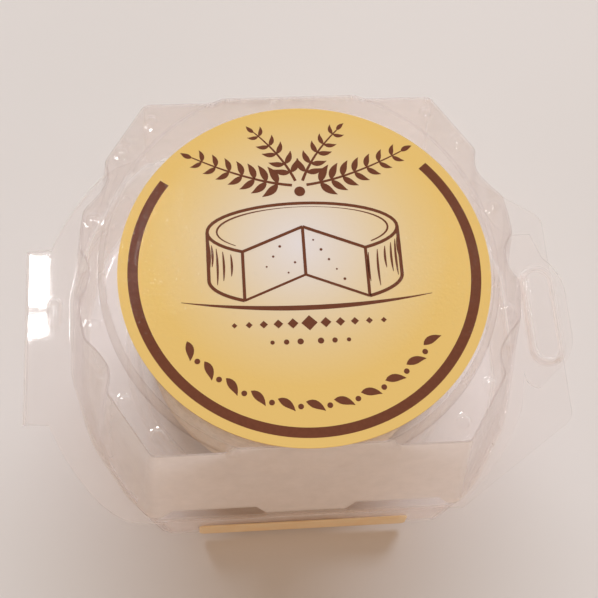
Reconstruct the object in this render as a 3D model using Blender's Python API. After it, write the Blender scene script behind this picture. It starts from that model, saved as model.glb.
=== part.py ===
"""A small round goat's cheese in its shut clear clamshell pack, with a round label on the lid.

Metres, +Z up. The origin is on the table, under the middle of the tray's flat floor.
-Y is the front of the pack. The living hinge is on the left (-X), the closing tab on the
right (+X). The lid stands above the tray's flange and opens up and over to the left.
"""
import math

import bmesh
import bpy
from mathutils import Matrix, Vector, noise

MM = 0.001

# Heights above the table
PLATEAU_Z = 39.1 * MM        # raised round top of the lid, under the label
SHOULDER_Z = 37.6 * MM       # flat shoulder round the plateau
LID_FLANGE_Z = 12.3 * MM     # top face of the lid's flange
TRAY_FLANGE_Z = 11.5 * MM    # top face of the tray's flange
SHEET = 0.5 * MM             # wall of the formed plastic sheet
SEAM = 0.3 * MM              # clearance between pieces that touch
QUARTERS = [(1, 1), (-1, 1), (-1, -1), (1, -1)]

# Plan of the lid's shoulder: a long octagon with fluted ends
SHOULDER_FRONT = 31.2 * MM
SHOULDER_CORNER = 24.5 * MM
FRONT_STOPS = [19.0 * MM, 13.7 * MM, 12.0 * MM, 6.0 * MM, 0.0]
CHAMFER_END = Vector((31.4, 20.0)) * MM
FLUTE_START = Vector((34.7, 12.8)) * MM
FLUTE_DEPTH = 1.6 * MM
NOTCH_END = Vector((35.8, 3.7)) * MM
NOTCH_DEEP_X = 33.9 * MM

# Plan of the lid's foot, where the wall meets the flange
FOOT_FRONT = 34.3 * MM
FOOT_SIDE = 38.8 * MM
FOOT_ROUND = 40.6 * MM
CHAMFER_ANGLE = math.radians(31.6)
FOOT_CHAMFER = 40.27 * MM    # from the axis to the chamfer wall's foot

# Plateau: top edge and foot of its step, cut flat by the front and back walls
PLATEAU_SIDE = 31.5 * MM
PLATEAU_DIAGONAL = 33.2 * MM
PLATEAU_STEP = 1.0 * MM
PLATEAU_FRONT = 31.05 * MM
STEP_CHORD, PLATEAU_CHORD = FRONT_STOPS[1:3]

# Flanges
FLANGE_FRONT = 35.0 * MM
FLANGE_FRONT_CORNER = 28.5 * MM
FLANGE_ROUND = 46.6 * MM
FLANGE_ROUND_START = math.radians(131.3)
HINGE_HALF = 16.5 * MM
HINGE_EDGE = 47.35 * MM      # both flanges stop here, just short of the fold
HINGE_X = -47.65 * MM
HINGE_TAPER = 0.3 * MM       # each end of the hinge tab leans out a little
RIGHT_CORNER = 27.1 * MM
LID_RIM_ROUND = 42.6 * MM
LID_RIM_ANGLES = (-48.0, -24.5)
TRAY_EAR = 48.6 * MM
TRAY_EAR_HALF = 18.5 * MM
TRAY_EAR_ROUNDING = 3.0 * MM
TAB_ROOT_X = 41.0 * MM       # the tab starts here, on the rim
TAB_X = 50.8 * MM
TAB_LOW = -14.2 * MM
TAB_HIGH = 16.4 * MM
TAB_ROUNDING = 2.5 * MM
TAB_FRONT_RADIUS = 8.0 * MM
TAB_BACK_RADIUS = 10.0 * MM

# Closing button: a long oval boss pressed into both flanges
BUTTON_CENTRE = Vector((45.6, -0.4)) * MM
BUTTON_RADIUS = 3.4 * MM
BUTTON_HALF = 6.6 * MM       # from the centre to the middle of each round end
BUTTON_RISE = 1.4 * MM
BUTTON_DRAFT = 0.5 * MM

# Vents in the foot of the lid's wall
VENT_BOTTOM = (6.6 * MM, 24.5 * MM)
VENT_TOP = (8.4 * MM, 22.4 * MM)
VENT_HEIGHT = 3.0 * MM
VENT_REACH = (36.5 * MM, 31.5 * MM)    # the front vents are cut between these planes
SIDE_VENT_CENTRE = Vector((30.0, 27.9)) * MM
SIDE_VENT_LENGTH = 8.4 * MM
SIDE_VENT_DEPTH = 3.0 * MM
SIDE_VENT_SILL = 0.3 * MM

# Stacking pips on the shoulder: radius, and the plan of those in one quarter
PIP_RADIUS = 1.4 * MM
PIP_RISE = 0.35 * MM
PIPS = [Vector((33.1, 9.7)) * MM, Vector((28.4, 22.2)) * MM, Vector((23.0, 27.3)) * MM]

# Tray
TRAY_FRONT = 34.5 * MM
TRAY_TOP_INSET = 0.3 * MM
TRAY_FOOT_INSET = 1.5 * MM
TRAY_FRONT_INSET = 0.3 * MM
TRAY_ROUNDING = 1.0 * MM
BEAD_INNER = 28.2 * MM       # pressed ring that keeps the cheese in the middle
BEAD_OUTER = 30.8 * MM
BEAD_RISE = 0.9 * MM

# Cheese
CHEESE_RADIUS = 26.3 * MM
CHEESE_HEIGHT = 30.0 * MM
CHEESE_TOP_ROUNDING = 7.5 * MM
CHEESE_BOTTOM_ROUNDING = 5.5 * MM
CHEESE_WAVE = 0.75 * MM      # slow unevenness of the drum
WAVE_SCALE = 0.045
CHEESE_WRINKLE = 0.55 * MM   # folds of the rind
WRINKLE_SCALE = 0.26

# Labels
LABEL_RADIUS = 30.0 * MM
LABEL_CENTRE = Vector((0.7, -1.5)) * MM
LABEL_THICK = 0.3 * MM
STRIP_LENGTH = 36.4 * MM
STRIP_LOW = 1.1 * MM
STRIP_HIGH = 6.3 * MM


def clear_scene():
    for old in list(bpy.data.objects):
        bpy.data.objects.remove(old, do_unlink=True)


def make_material(name, colour, roughness, alpha=1.0):
    material = bpy.data.materials.new(name)
    material.use_nodes = True
    shader = material.node_tree.nodes["Principled BSDF"]
    shader.inputs["Base Color"].default_value = (*colour, 1.0)
    shader.inputs["Roughness"].default_value = roughness
    shader.inputs["Metallic"].default_value = 0.0
    shader.inputs["Alpha"].default_value = alpha
    return material


def make_object(name, bm, material=None, smooth_below=30):
    """Turn a bmesh into an object, shaded smooth except at edges sharper than smooth_below degrees."""
    bmesh.ops.recalc_face_normals(bm, faces=bm.faces)
    mesh = bpy.data.meshes.new(name)
    bm.to_mesh(mesh)
    bm.free()
    mesh.shade_smooth()
    mesh.set_sharp_from_angle(angle=math.radians(smooth_below))
    if material:
        mesh.materials.append(material)
    piece = bpy.data.objects.new(name, mesh)
    bpy.context.scene.collection.objects.link(piece)
    return piece


def make_cutter(name, bm):
    """A helper shape that a Boolean reads and that is never seen itself."""
    helper = make_object(name, bm)
    helper.display_type = "WIRE"
    helper.hide_render = True
    return helper


def add_boolean(piece, helper, operation):
    step = piece.modifiers.new(f"{operation.lower()} {helper.name}", "BOOLEAN")
    step.operation = operation
    step.object = helper
    return step


def arc(centre, radius, start, end, steps):
    """Points on an arc from start to end, in degrees, both ends included."""
    points = []
    for i in range(steps + 1):
        angle = math.radians(start + (end - start) * i / steps)
        points.append(Vector((centre[0] + radius * math.cos(angle), centre[1] + radius * math.sin(angle))))
    return points


def bowed(start, end, depth, steps):
    """Points between start and end on an arc that sinks by depth towards the axis; start left out."""
    chord = end - start
    inward = Vector((-chord.y, chord.x)).normalized()
    points = []
    for i in range(1, steps + 1):
        t = i / steps
        sink = depth * (1 - (2 * t - 1) ** 2)
        points.append(start + chord * t + inward * sink)
    return points


def polar(radius, angle):
    return Vector((radius * math.cos(angle), radius * math.sin(angle)))


def shoulder_quarter():
    """Outline of the shoulder from the +X axis round to the +Y axis."""
    depth = NOTCH_END.x - NOTCH_DEEP_X
    notch_radius = (depth ** 2 + NOTCH_END.y ** 2) / (2 * depth)
    notch_centre = (NOTCH_DEEP_X + notch_radius, 0.0)
    notch_stop = math.degrees(math.atan2(NOTCH_END.y, NOTCH_END.x - notch_centre[0]))
    points = arc(notch_centre, notch_radius, 180, notch_stop, 4)
    start, stop = [math.atan2(p.y, p.x) for p in (NOTCH_END, FLUTE_START)]
    for i in range(1, 5):
        t = i / 4
        radius = NOTCH_END.length * (1 - t) + FLUTE_START.length * t
        points.append(polar(radius, start * (1 - t) + stop * t))
    points += bowed(FLUTE_START, CHAMFER_END, FLUTE_DEPTH, 6)
    points += bowed(CHAMFER_END, Vector((SHOULDER_CORNER, SHOULDER_FRONT)), 0.0, 3)
    for x in FRONT_STOPS:
        points.append(Vector((x, SHOULDER_FRONT)))
    return points


SHOULDER = shoulder_quarter()
CORNER_INDEX = len(SHOULDER) - len(FRONT_STOPS) - 1


def wall_quarter(inset, front):
    """Smooth outline of the wall below the flutes, moved in by inset, point for point with SHOULDER."""
    corner = (FOOT_CHAMFER - inset - front * math.sin(CHAMFER_ANGLE)) / math.cos(CHAMFER_ANGLE)
    points = []
    for i, p in enumerate(SHOULDER):
        if i < CORNER_INDEX:
            angle = math.atan2(p.y, p.x)
            flat = (FOOT_SIDE - inset) / math.cos(angle)
            chamfer = (FOOT_CHAMFER - inset) / math.cos(angle - CHAMFER_ANGLE)
            points.append(polar(min(flat, FOOT_ROUND - inset, chamfer), angle))
        else:
            points.append(Vector((p.x * corner / SHOULDER_CORNER, front)))
    return points


def plateau_quarter(step):
    """Outline of the plateau, step wider than its top edge, point for point with SHOULDER."""
    points = []
    for i, p in enumerate(SHOULDER):
        angle = math.atan2(p.y, p.x)
        radius = PLATEAU_SIDE + (PLATEAU_DIAGONAL - PLATEAU_SIDE) * math.sin(angle) ** 2 + step
        spot = polar(radius, angle)
        limit = SHOULDER_FRONT if step else PLATEAU_FRONT
        chord = STEP_CHORD if step else PLATEAU_CHORD
        if i > CORNER_INDEX and p.x < chord + 1e-6:
            spot = Vector((p.x, limit))
        points.append(spot)
    return points


def circle_quarter(radius):
    return [polar(radius, math.atan2(p.y, p.x)) for p in SHOULDER]


def full_ring(quarter):
    """Mirror a quarter outline into all four quarters, counterclockwise from +X."""
    upper = quarter + [Vector((-p.x, p.y)) for p in reversed(quarter[:-1])]
    return upper + [Vector((p.x, -p.y)) for p in reversed(upper[1:-1])]


def loft(levels):
    """Join rings of matching points, given as (outline, z), and close the last one with a cap."""
    bm = bmesh.new()
    rings = []
    for outline, z in levels:
        rings.append([bm.verts.new((p.x, p.y, z)) for p in outline])
    for upper, lower in zip(rings, rings[1:]):
        count = len(upper)
        for i in range(count):
            j = (i + 1) % count
            bm.faces.new((upper[i], upper[j], lower[j], lower[i]))
    bm.faces.new(rings[-1])
    bmesh.ops.remove_doubles(bm, verts=bm.verts, dist=1e-6)
    bmesh.ops.dissolve_degenerate(bm, edges=bm.edges, dist=1e-6)
    bmesh.ops.recalc_face_normals(bm, faces=bm.faces)
    return bm


def prism(outline, low, high, top_outline=None):
    """A closed block between two heights over an outline, drafted when it has a top outline of its own."""
    bm = bmesh.new()
    bottom = [bm.verts.new((p.x, p.y, low)) for p in outline]
    top = [bm.verts.new((p.x, p.y, high)) for p in (top_outline or outline)]
    count = len(outline)
    for i in range(count):
        j = (i + 1) % count
        bm.faces.new((bottom[i], bottom[j], top[j], top[i]))
    bm.faces.new(list(reversed(bottom)))
    bm.faces.new(top)
    return bm


def oval(radius, steps=7):
    """Outline of the closing button: two half circles joined by straight sides."""
    upper = arc(BUTTON_CENTRE + Vector((0, BUTTON_HALF)), radius, 0, 180, steps)
    lower = arc(BUTTON_CENTRE - Vector((0, BUTTON_HALF)), radius, 180, 360, steps)
    return upper + lower


def mirrored(points):
    """The same points on the other side of the X axis, in the opposite order."""
    return [Vector((p.x, -p.y)) for p in reversed(points)]


def hinge_side():
    """Left part of both flanges from the back to the front: round, with the straight tab of the hinge."""
    tab_angle = 180 - math.degrees(math.asin((HINGE_HALF + HINGE_TAPER) / FLANGE_ROUND))
    back = [Vector((-FLANGE_FRONT_CORNER, FLANGE_FRONT))]
    back += arc((0, 0), FLANGE_ROUND, math.degrees(FLANGE_ROUND_START), tab_angle, 8)
    back.append(Vector((-HINGE_EDGE, HINGE_HALF)))
    return back + mirrored(back)


def lid_flange():
    """Outline of the lid's flange: a narrow rim on the right, with the tab that opens the pack."""
    rim = [Vector((RIGHT_CORNER, -FLANGE_FRONT))]
    rim += arc((0, 0), LID_RIM_ROUND, *LID_RIM_ANGLES, 5)
    tab = [Vector((TAB_ROOT_X, TAB_LOW + 1.2 * TAB_ROUNDING))]
    tab += arc((TAB_ROOT_X + TAB_ROUNDING, TAB_LOW + TAB_ROUNDING), TAB_ROUNDING, 180, 270, 4)
    tab += arc((TAB_X - TAB_FRONT_RADIUS, TAB_LOW + 1.25 * TAB_FRONT_RADIUS), TAB_FRONT_RADIUS, -60, 0, 5)
    tab += arc((TAB_X - TAB_BACK_RADIUS, TAB_HIGH - 1.25 * TAB_BACK_RADIUS), TAB_BACK_RADIUS, 0, 48, 5)
    tab.append(Vector((TAB_X - TAB_BACK_RADIUS / 2, TAB_HIGH)))
    tab.append(Vector((TAB_ROOT_X + TAB_ROUNDING / 2, TAB_HIGH)))
    return rim + tab + mirrored(rim) + hinge_side()


def tray_flange():
    """Outline of the tray's flange: on the right it spreads into two ears beside the tab."""
    ear = [Vector((RIGHT_CORNER, -FLANGE_FRONT))]
    ear_centre = (TRAY_EAR - TRAY_EAR_ROUNDING, -TRAY_EAR_HALF)
    ear += arc(ear_centre, TRAY_EAR_ROUNDING, -57, 0, 4)
    return ear + mirrored(ear) + hinge_side()


def pressed_button(piece, flange_z, radius, name):
    """Raise the oval boss out of a flange and hollow it from below, as a formed sheet is."""
    top = flange_z + BUTTON_RISE
    boss = prism(oval(radius), flange_z - SHEET / 2, top, oval(radius - BUTTON_DRAFT))
    add_boolean(piece, make_cutter(f"{name}_boss", boss), "UNION")
    inner = radius - SHEET
    hollow = prism(oval(inner), flange_z - 3 * SHEET, top - SHEET, oval(inner - BUTTON_DRAFT))
    add_boolean(piece, make_cutter(f"{name}_hollow", hollow), "DIFFERENCE")


def vent_cutters():
    """Long vents in the front and back walls, and short slots in the four chamfer walls."""
    bm = bmesh.new()
    low = LID_FLANGE_Z - 2 * SHEET
    high = LID_FLANGE_Z + VENT_HEIGHT
    trapezoid = [(VENT_BOTTOM[0], low), (VENT_BOTTOM[1], low), (VENT_TOP[1], high), (VENT_TOP[0], high)]
    slot_size = Matrix.Diagonal((SIDE_VENT_DEPTH, SIDE_VENT_LENGTH, VENT_HEIGHT, 1))
    slot_z = LID_FLANGE_Z + SIDE_VENT_SILL + VENT_HEIGHT / 2
    for x_sign, y_sign in QUARTERS:
        outer = [bm.verts.new((x_sign * x, y_sign * VENT_REACH[0], z)) for x, z in trapezoid]
        face = bm.faces.new(outer)
        pushed = bmesh.ops.extrude_face_region(bm, geom=[face])["geom"]
        moved = [v for v in pushed if isinstance(v, bmesh.types.BMVert)]
        bmesh.ops.translate(bm, verts=moved, vec=(0, y_sign * (VENT_REACH[1] - VENT_REACH[0]), 0))
        turn = math.atan2(y_sign * math.sin(CHAMFER_ANGLE), x_sign * math.cos(CHAMFER_ANGLE))
        spot = Vector((x_sign * SIDE_VENT_CENTRE.x, y_sign * SIDE_VENT_CENTRE.y, slot_z))
        place = Matrix.Translation(spot) @ Matrix.Rotation(turn, 4, "Z") @ slot_size
        bmesh.ops.create_cube(bm, size=1.0, matrix=place)
    return bm


def pips():
    """Low round pips on the shoulder, mirrored into the four quarters."""
    bm = bmesh.new()
    for spot in PIPS:
        for x_sign, y_sign in QUARTERS:
            place = Matrix.Translation((x_sign * spot.x, y_sign * spot.y, SHOULDER_Z))
            bmesh.ops.create_cone(bm, cap_ends=True, segments=12, radius1=PIP_RADIUS,
                                  radius2=PIP_RADIUS * 0.6, depth=2 * PIP_RISE, matrix=place)
    return bm


def formed_sheet(piece):
    """Give an open skin the thickness of the sheet, on its inner side."""
    wall = piece.modifiers.new("sheet", "SOLIDIFY")
    wall.thickness = SHEET
    wall.offset = -1.0
    wall.use_even_offset = True


def flange_plate(name, outline, mouth_outline, top):
    """The flat flange, open where the hollow of its half of the pack is."""
    plate = make_cutter(f"{name}_flange", prism(outline, top - SHEET, top))
    mouth = make_cutter(f"{name}_mouth", prism(mouth_outline, top - 2 * SHEET, top + SHEET))
    add_boolean(plate, mouth, "DIFFERENCE")
    return plate


def build_lid(material):
    levels = [
        (full_ring(wall_quarter(0.0, FOOT_FRONT)), LID_FLANGE_Z - SHEET),
        (full_ring(SHOULDER), SHOULDER_Z),
        (full_ring(plateau_quarter(PLATEAU_STEP)), SHOULDER_Z),
        (full_ring(plateau_quarter(0.0)), PLATEAU_Z),
    ]
    lid = make_object("lid", loft(levels), material)
    formed_sheet(lid)
    mid = SHEET / 2
    mouth = full_ring(wall_quarter(mid, FOOT_FRONT - mid))
    add_boolean(lid, flange_plate("lid", lid_flange(), mouth, LID_FLANGE_Z), "UNION")
    add_boolean(lid, make_cutter("vents", vent_cutters()), "DIFFERENCE")
    add_boolean(lid, make_cutter("pips", pips()), "UNION")
    pressed_button(lid, LID_FLANGE_Z, BUTTON_RADIUS, "lid_button")
    return lid


def tray_ring(inset):
    """Outline of the tray's floor, moved in by inset."""
    return full_ring(wall_quarter(TRAY_FOOT_INSET + inset, TRAY_FRONT - TRAY_FRONT_INSET - inset))


def build_tray(material):
    bend = TRAY_ROUNDING * (1 - math.sqrt(0.5))
    slope = (BEAD_OUTER - BEAD_INNER) / 4
    levels = [
        (full_ring(wall_quarter(TRAY_TOP_INSET, TRAY_FRONT)), TRAY_FLANGE_Z - SHEET / 2),
        (tray_ring(0.0), TRAY_ROUNDING),
        (tray_ring(bend), bend),
        (tray_ring(TRAY_ROUNDING), 0.0),
        (full_ring(circle_quarter(BEAD_OUTER)), 0.0),
        (full_ring(circle_quarter(BEAD_OUTER - slope)), BEAD_RISE),
        (full_ring(circle_quarter(BEAD_INNER + slope)), BEAD_RISE),
        (full_ring(circle_quarter(BEAD_INNER)), 0.0),
    ]
    tray = make_object("tray", loft(levels), material)
    formed_sheet(tray)
    mid = SHEET / 2
    mouth = full_ring(wall_quarter(TRAY_TOP_INSET + mid, TRAY_FRONT - mid))
    add_boolean(tray, flange_plate("tray", tray_flange(), mouth, TRAY_FLANGE_Z), "UNION")
    pressed_button(tray, TRAY_FLANGE_Z, BUTTON_RADIUS - SHEET - SEAM, "tray_button")
    return tray


def rounded_profile(steps=6):
    """Half outline of the cheese, as (radius, height) from the middle of its foot to that of its top."""
    low, high = CHEESE_BOTTOM_ROUNDING, CHEESE_TOP_ROUNDING
    foot = [(CHEESE_RADIUS * share, 0.0) for share in (0.0, 0.35, 0.6)]
    crown = [(CHEESE_RADIUS * share, CHEESE_HEIGHT) for share in (0.55, 0.3, 0.0)]
    bottom = arc((CHEESE_RADIUS - low, low), low, -90, 0, steps)
    top = arc((CHEESE_RADIUS - high, CHEESE_HEIGHT - high), high, 0, 90, steps)
    side = [(CHEESE_RADIUS, low + (CHEESE_HEIGHT - low - high) * i / 5) for i in range(1, 5)]
    return foot + [tuple(p) for p in bottom] + side + [tuple(p) for p in top] + crown


def build_cheese(material, segments=72):
    """Turn the profile, then push its skin in and out: slow waves, and the folds of the rind."""
    bm = bmesh.new()
    profile = [bm.verts.new((r, 0, z)) for r, z in rounded_profile()]
    edges = [bm.edges.new(pair) for pair in zip(profile, profile[1:])]
    bmesh.ops.spin(bm, geom=profile + edges, axis=(0, 0, 1), cent=(0, 0, 0), angle=math.tau,
                   steps=segments, use_merge=True)
    bmesh.ops.remove_doubles(bm, verts=bm.verts, dist=1e-6)
    bmesh.ops.recalc_face_normals(bm, faces=bm.faces)
    bm.normal_update()
    moves = []
    for v in bm.verts:
        here = v.co / MM
        wave = noise.noise(here * WAVE_SCALE + Vector((3.1, 0.4, 7.7)))
        stretched = Vector((here.x, here.y, here.z * 1.6)) * WRINKLE_SCALE
        fold = abs(noise.noise(stretched + Vector((9.0, 2.0, 5.0))))
        seat = min(1.0, v.co.z / CHEESE_BOTTOM_ROUNDING)
        moves.append(v.normal * (CHEESE_WAVE * wave - CHEESE_WRINKLE * fold) * seat)
    for v, move in zip(bm.verts, moves):
        v.co += move + Vector((0, 0, SHEET + SEAM))
    bmesh.ops.triangulate(bm, faces=[f for f in bm.faces if len(f.verts) == 4])
    return make_object("cheese", bm, material, 60)


def build_label(material):
    outline = arc(LABEL_CENTRE, LABEL_RADIUS, 0, 360, 96)[:-1]
    low = PLATEAU_Z + SEAM
    return make_object("label", prism(outline, low, low + LABEL_THICK), material)


def build_strip(material):
    """The narrow label on the tray's front wall."""
    face = TRAY_FRONT - TRAY_FRONT_INSET * (1 - STRIP_HIGH / TRAY_FLANGE_Z)
    half = STRIP_LENGTH / 2
    near, far = -(face + SEAM), -(face + SEAM + LABEL_THICK)
    outline = [Vector((-half, far)), Vector((half, far)), Vector((half, near)), Vector((-half, near))]
    return make_object("strip", prism(outline, STRIP_LOW, STRIP_HIGH), material)


def hang_on_hinge(pieces):
    """Parent the lid's pieces to an empty on the fold, leaving them where they are."""
    axis = bpy.data.objects.new("hinge_axis", None)
    axis.location = (HINGE_X, 0, (LID_FLANGE_Z - SHEET + TRAY_FLANGE_Z) / 2)
    axis.rotation_euler = (math.radians(90), 0, 0)
    bpy.context.scene.collection.objects.link(axis)
    bpy.context.view_layer.update()
    for piece in pieces:
        piece.parent = axis
        piece.matrix_parent_inverse = axis.matrix_world.inverted()


def main():
    clear_scene()
    clear = make_material("clear sheet", (0.90, 0.88, 0.90), 0.08, 0.3)
    rind = make_material("rind", (0.80, 0.68, 0.55), 0.6)
    paper = make_material("label paper", (0.85, 0.62, 0.25), 0.35)
    amber = make_material("strip paper", (0.80, 0.45, 0.16), 0.45)
    build_tray(clear)
    build_cheese(rind)
    build_strip(amber)
    lid = build_lid(clear.copy())
    hang_on_hinge([lid, build_label(paper)])


main()
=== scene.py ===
# %% [markdown]
# # A small goat's cheese in its clear clamshell pack
# The real object is a 60 g drum of goat's cheese in a pack of thin clear plastic. The pack is formed
# from one sheet: a deep lid and a shallow tray, joined by a fold on the left and closed by a tab on
# the right. A round gold label lies on the lid and a narrow amber one on the front of the tray.
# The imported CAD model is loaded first. It fixes every size, and the pieces made here stand for its parts.

# %% Load the frame
import math

import bmesh
import bpy
from bmesh.types import BMEdge, BMFace, BMVert
from mathutils import Matrix, Vector, noise
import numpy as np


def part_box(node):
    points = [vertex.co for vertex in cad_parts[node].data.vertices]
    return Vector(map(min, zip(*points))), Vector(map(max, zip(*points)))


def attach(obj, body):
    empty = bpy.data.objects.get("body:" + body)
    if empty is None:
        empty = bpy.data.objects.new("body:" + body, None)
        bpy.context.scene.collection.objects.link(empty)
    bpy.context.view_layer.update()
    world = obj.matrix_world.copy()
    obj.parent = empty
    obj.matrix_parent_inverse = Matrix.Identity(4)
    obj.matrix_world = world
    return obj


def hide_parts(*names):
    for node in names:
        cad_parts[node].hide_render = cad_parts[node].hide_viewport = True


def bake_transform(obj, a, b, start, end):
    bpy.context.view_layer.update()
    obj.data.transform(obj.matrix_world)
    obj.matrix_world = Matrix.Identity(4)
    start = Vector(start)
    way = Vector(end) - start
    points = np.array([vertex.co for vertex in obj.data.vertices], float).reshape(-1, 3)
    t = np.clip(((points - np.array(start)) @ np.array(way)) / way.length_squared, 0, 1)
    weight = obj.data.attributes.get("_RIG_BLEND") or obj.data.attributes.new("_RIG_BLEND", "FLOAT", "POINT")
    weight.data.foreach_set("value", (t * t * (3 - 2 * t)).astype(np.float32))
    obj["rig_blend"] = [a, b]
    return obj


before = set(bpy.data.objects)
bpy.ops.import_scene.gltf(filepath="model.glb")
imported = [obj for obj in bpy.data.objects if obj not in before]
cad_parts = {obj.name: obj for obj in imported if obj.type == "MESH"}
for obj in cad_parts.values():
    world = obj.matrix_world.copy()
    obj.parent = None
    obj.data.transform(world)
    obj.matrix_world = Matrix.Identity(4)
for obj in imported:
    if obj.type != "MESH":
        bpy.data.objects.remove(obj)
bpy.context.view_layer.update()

MM = 0.001

# %% [markdown]
# ## Reading sizes off the CAD parts
# A real maker works to one drawing. Here the drawing is the CAD model, so heights are read from the
# boxes of its parts and only what a box can't tell is written as a number.

# %% Heights of the sheet
SHEET = 0.35 * MM            # what the real sheet measures; in the CAD parts it is 0.5 mm
PLATEAU_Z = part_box("lid")[1].z
SHOULDER_Z = PLATEAU_Z - 1.5 * MM
LID_FLANGE_Z = 12.3 * MM
TRAY_FLANGE_Z = 11.5 * MM
TABLE_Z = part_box("tray")[0].z
QUARTERS = [(1, 1), (-1, 1), (-1, -1), (1, -1)]
print("plateau at", round(PLATEAU_Z / MM, 2), "mm, tray from", round(TABLE_Z / MM, 2), "mm")

# %% [markdown]
# ## Helpers for outlines
# The lid's plan is drawn as a maker draws a mould: one quarter made of arcs and straight lines, then
# mirrored. Every later ring has a point for each of these, so rings can be joined column by column.


# %% Arcs, bowed lines and soft corners
def at(x, y):
    """A point of the plan, given in millimetres."""
    return Vector((x, y)) * MM


def polar(radius, angle):
    return Vector((radius * math.cos(angle), radius * math.sin(angle)))


def arc(centre, radius, start, end, steps):
    """Points on an arc from start to end, in degrees, both ends included."""
    points = []
    for i in range(steps + 1):
        angle = math.radians(start + (end - start) * i / steps)
        points.append(Vector((centre[0], centre[1])) + polar(radius, angle))
    return points


def bowed(start, end, depth, steps):
    """Points from start to end on a curve that sinks by depth towards the axis; start is left out."""
    chord = end - start
    inward = Vector((-chord.y, chord.x)).normalized()
    points = []
    for i in range(1, steps + 1):
        t = i / steps
        points.append(start + chord * t + inward * depth * (1 - (2 * t - 1) ** 2))
    return points


def curve(start, bend, end, steps=12):
    """A quadratic curve from start to end that leans towards bend."""
    points = []
    for i in range(steps + 1):
        t = i / steps
        points.append(Vector(start) * (1 - t) ** 2 + Vector(bend) * 2 * t * (1 - t) + Vector(end) * t ** 2)
    return points


def softened(points, passes):
    """Round the corners of a quarter outline. Its two ends see their own mirror images."""
    for _ in range(passes):
        before = [Vector((points[1].x, -points[1].y))] + points[:-1]
        after = points[1:] + [Vector((-points[-2].x, points[-2].y))]
        points = [(a + 2 * p + b) / 4 for a, p, b in zip(before, points, after)]
    return points


def full_ring(quarter):
    """Mirror a quarter outline into all four, counterclockwise from +X."""
    upper = quarter + [Vector((-p.x, p.y)) for p in reversed(quarter[:-1])]
    return upper + [Vector((p.x, -p.y)) for p in reversed(upper[1:-1])]


# %% [markdown]
# ## Plan of the lid
# The shoulder is a long octagon. Its ends are fluted, with a finger notch in the middle, which makes
# the thin sheet stiff. The foot is smooth, so the flutes run out as they go down.

# %% Outline of the shoulder and of the foot
NOTCH_END = at(35.6, 4.1)
NOTCH_DEEP_X = 33.9 * MM
END_CORNER = at(34.8, 11.5)
FLUTE_MIDDLE = at(31.1, 16.2)
CHAMFER_END = at(31.5, 20.2)
SHOULDER_CORNER = at(24.6, 31.2)
FOOT_FRONT = 34.3 * MM
FOOT_SIDE = 39.6 * MM
FOOT_ROUND = 40.3 * MM
CHAMFER_ANGLE = math.radians(31.6)
FOOT_CHAMFER = 41.5 * MM
CUT_ANGLE = math.radians(44.35)
FOOT_CUT = 42.7 * MM


def shoulder_quarter():
    """The shoulder from +X round to +Y, and the column where its straight front starts."""
    depth = NOTCH_END.x - NOTCH_DEEP_X
    notch_radius = (depth ** 2 + NOTCH_END.y ** 2) / (2 * depth)
    notch_centre = (NOTCH_DEEP_X + notch_radius, 0.0)
    notch_stop = math.degrees(math.atan2(NOTCH_END.y, NOTCH_END.x - notch_centre[0]))
    points = arc(notch_centre, notch_radius, 180, notch_stop, 10)
    points += bowed(NOTCH_END, END_CORNER, -0.15 * MM, 14)
    points += bowed(END_CORNER, FLUTE_MIDDLE, 0.25 * MM, 10)
    points += bowed(FLUTE_MIDDLE, CHAMFER_END, 0.35 * MM, 8)
    points += bowed(CHAMFER_END, SHOULDER_CORNER, 0.0, 18)
    corner = len(points) - 1
    points += bowed(SHOULDER_CORNER, Vector((0.0, SHOULDER_CORNER.y)), 0.0, 34)
    return points, corner


SHARP_SHOULDER, CORNER_COLUMN = shoulder_quarter()
CRISP_FROM = CORNER_COLUMN - 9    # in the middle of the chamfer, where the outline is straight


def formed(points, flute_passes):
    """Soft flutes and a crisp corner at the front, as the real mould has."""
    return softened(points, flute_passes)[:CRISP_FROM] + softened(points, 1)[CRISP_FROM:]


def wall_quarter(inset, front):
    """Smooth outline below the flutes, moved in by inset, column for column with the shoulder."""
    corner = (FOOT_CUT - inset - front * math.sin(CUT_ANGLE)) / math.cos(CUT_ANGLE)
    points = []
    for i, p in enumerate(SHARP_SHOULDER):
        angle = math.atan2(p.y, p.x)
        if i < CORNER_COLUMN:
            flat = (FOOT_SIDE - inset) / math.cos(angle)
            swell = min(1.0, max(0.0, angle / CHAMFER_ANGLE - 0.6) / 0.4)
            end = FOOT_ROUND - inset + swell * (FOOT_CHAMFER - FOOT_ROUND)
            chamfer = (FOOT_CHAMFER - inset) / math.cos(angle - CHAMFER_ANGLE)
            clipped = (FOOT_CUT - inset) / math.cos(angle - CUT_ANGLE)
            points.append(polar(min(flat, end if swell < 1.0 else chamfer, chamfer, clipped), angle))
        else:
            points.append(Vector((p.x * corner / SHOULDER_CORNER.x, front)))
    return formed(points, 4)


SHOULDER = formed(SHARP_SHOULDER, 2)
FOOT = wall_quarter(0.0, FOOT_FRONT)
print(len(full_ring(SHOULDER)), "columns round the lid")

# %% [markdown]
# ## Plan of the plateau
# The round middle of the lid stands 1.5 mm proud and carries the label. The straight front and back
# walls cut it off, so each outline is a nearly round curve that is clipped at a straight line.

# %% Outlines of the plateau
PLATEAU_SIDE = 31.5 * MM
PLATEAU_DIAGONAL = 33.2 * MM
PLATEAU_STEP = 1.0 * MM
PLATEAU_FRONT = 31.05 * MM


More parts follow.
